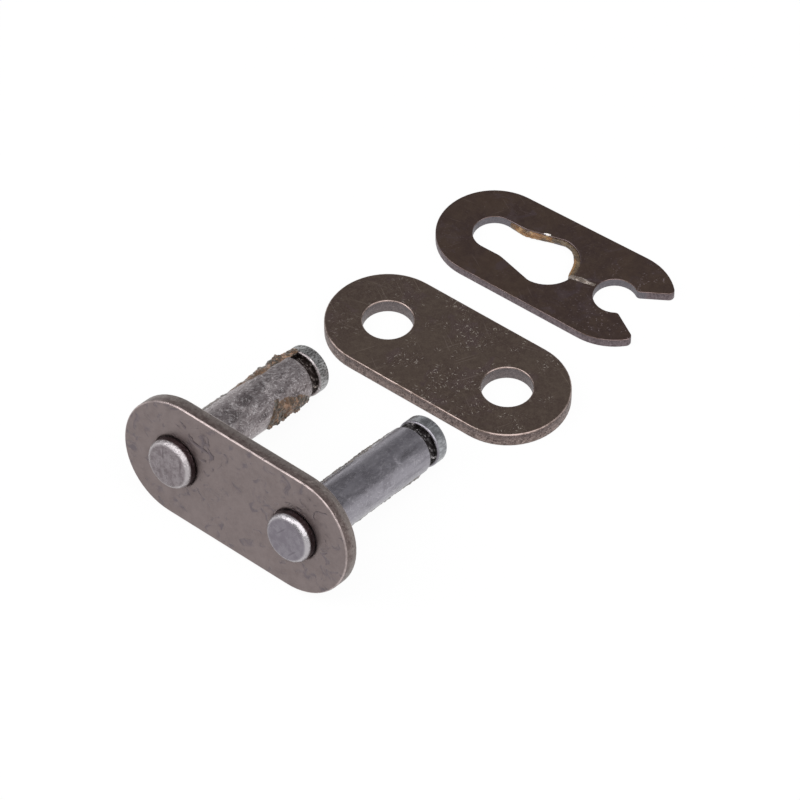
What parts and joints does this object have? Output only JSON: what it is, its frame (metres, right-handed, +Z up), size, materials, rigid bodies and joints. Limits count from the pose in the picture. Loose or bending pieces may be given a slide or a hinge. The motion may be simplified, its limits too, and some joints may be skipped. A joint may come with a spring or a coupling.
{
  "type": "chain connecting link",
  "caption": "Loose connecting link of a roller chain: an outer plate with riveted pins, a cover plate and a spring clip with a keyhole and a fork.",
  "frame": {"origin": "middle of the whole set's footprint, on the surface that it lies on", "axes": "+Y along the row of loose pieces, from the riveted pin link past the cover plate to the spring clip; +X along the pitch, from the clip's closed end to its fork; +Z up from the surface"},
  "size_m": [0.0186, 0.0358, 0.0082],
  "materials": {
    "plate_steel": "tumbled steel with a mauve-grey tint, half gloss, with small dents",
    "pin_steel": "ground and hardened steel, satin, with grey streaks along it",
    "cover_steel": "dark brown heat-treated steel with pale specks and fine scratches, greyer on its edge",
    "spring_steel": "dark brown tempered spring steel, with blue-grey sheared edges",
    "old_grease": "dried amber grease, crumbly and half glossy"
  },
  "bodies": {
    "root": {"outer_plate": "plate_steel", "pin_left": "pin_steel", "pin_right": "pin_steel", "cover_plate": "cover_steel", "spring_clip": "spring_steel"}
  },
  "joints": []
}
